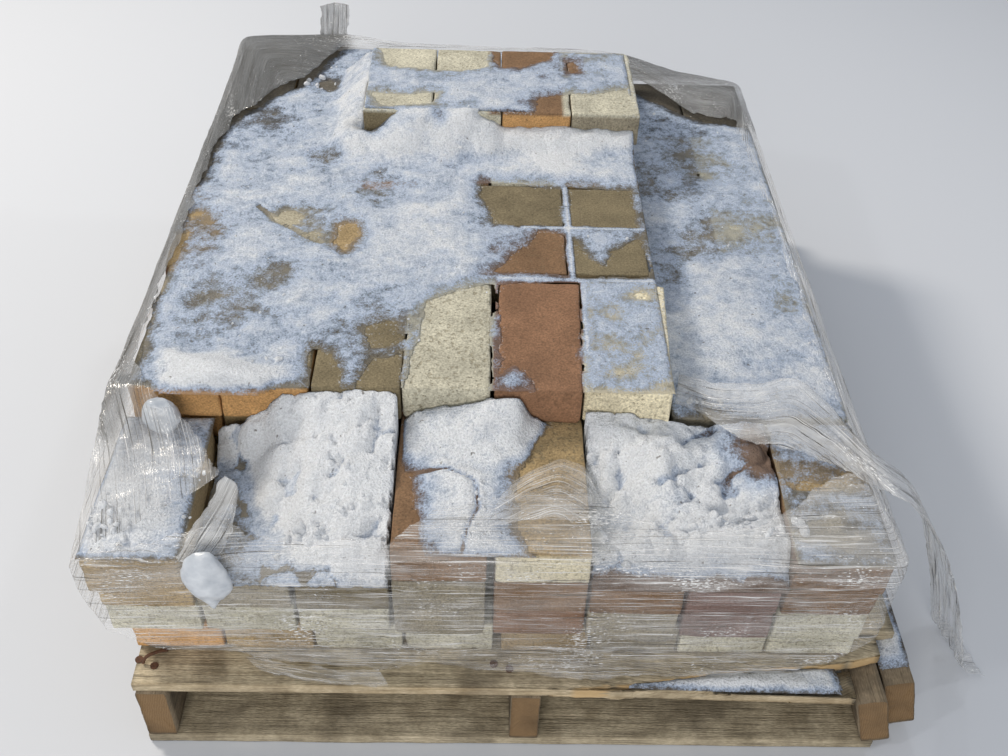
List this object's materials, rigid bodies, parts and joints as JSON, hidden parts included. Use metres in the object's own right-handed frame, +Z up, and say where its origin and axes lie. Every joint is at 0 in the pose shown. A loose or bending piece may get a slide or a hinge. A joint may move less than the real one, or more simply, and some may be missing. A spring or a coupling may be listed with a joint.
{
  "type": "pallet of bricks",
  "caption": "Worn wooden stringer pallet loaded with courses of mixed paving bricks in torn clear stretch film, dusted with snow.",
  "frame": {"origin": "on the floor under the middle of the stack of bricks, at the underside of the middle bottom board", "axes": "+X across the pallet to its right, +Y from its front to its back along the stringers, +Z up"},
  "size_m": [1.0457, 1.067, 0.423],
  "materials": {
    "fired_brick": "rough, pitted, mixed cream, tan, orange and brown",
    "weathered_wood": "rough sawn, weathered grey",
    "stringer_wood": "rough sawn, damp brown",
    "stretch_film": "clear, wrinkled",
    "snow": "granular, partly melted",
    "nail_steel": "rusted"
  },
  "bodies": {
    "root": {"course_1": "fired_brick", "course_2": "fired_brick", "course_3": "fired_brick", "course_4": "fired_brick", "course_5": "fired_brick", "course_6": "fired_brick", "lead_deck_board": "weathered_wood", "deck_board_2": "weathered_wood", "deck_board_3": "weathered_wood", "deck_board_4": "weathered_wood", "deck_board_5": "weathered_wood", "deck_board_6": "weathered_wood", "deck_board_7": "weathered_wood", "deck_board_8": "weathered_wood", "bottom_board_front": "weathered_wood", "bottom_board_middle": "weathered_wood", "bottom_board_rear": "weathered_wood", "left_stringer": "stringer_wood", "middle_stringer": "stringer_wood", "right_stringer": "stringer_wood", "right_outer_stringer": "stringer_wood", "stretch_wrap": "stretch_film", "wrap_tail": "stretch_film"}
  },
  "joints": []
}
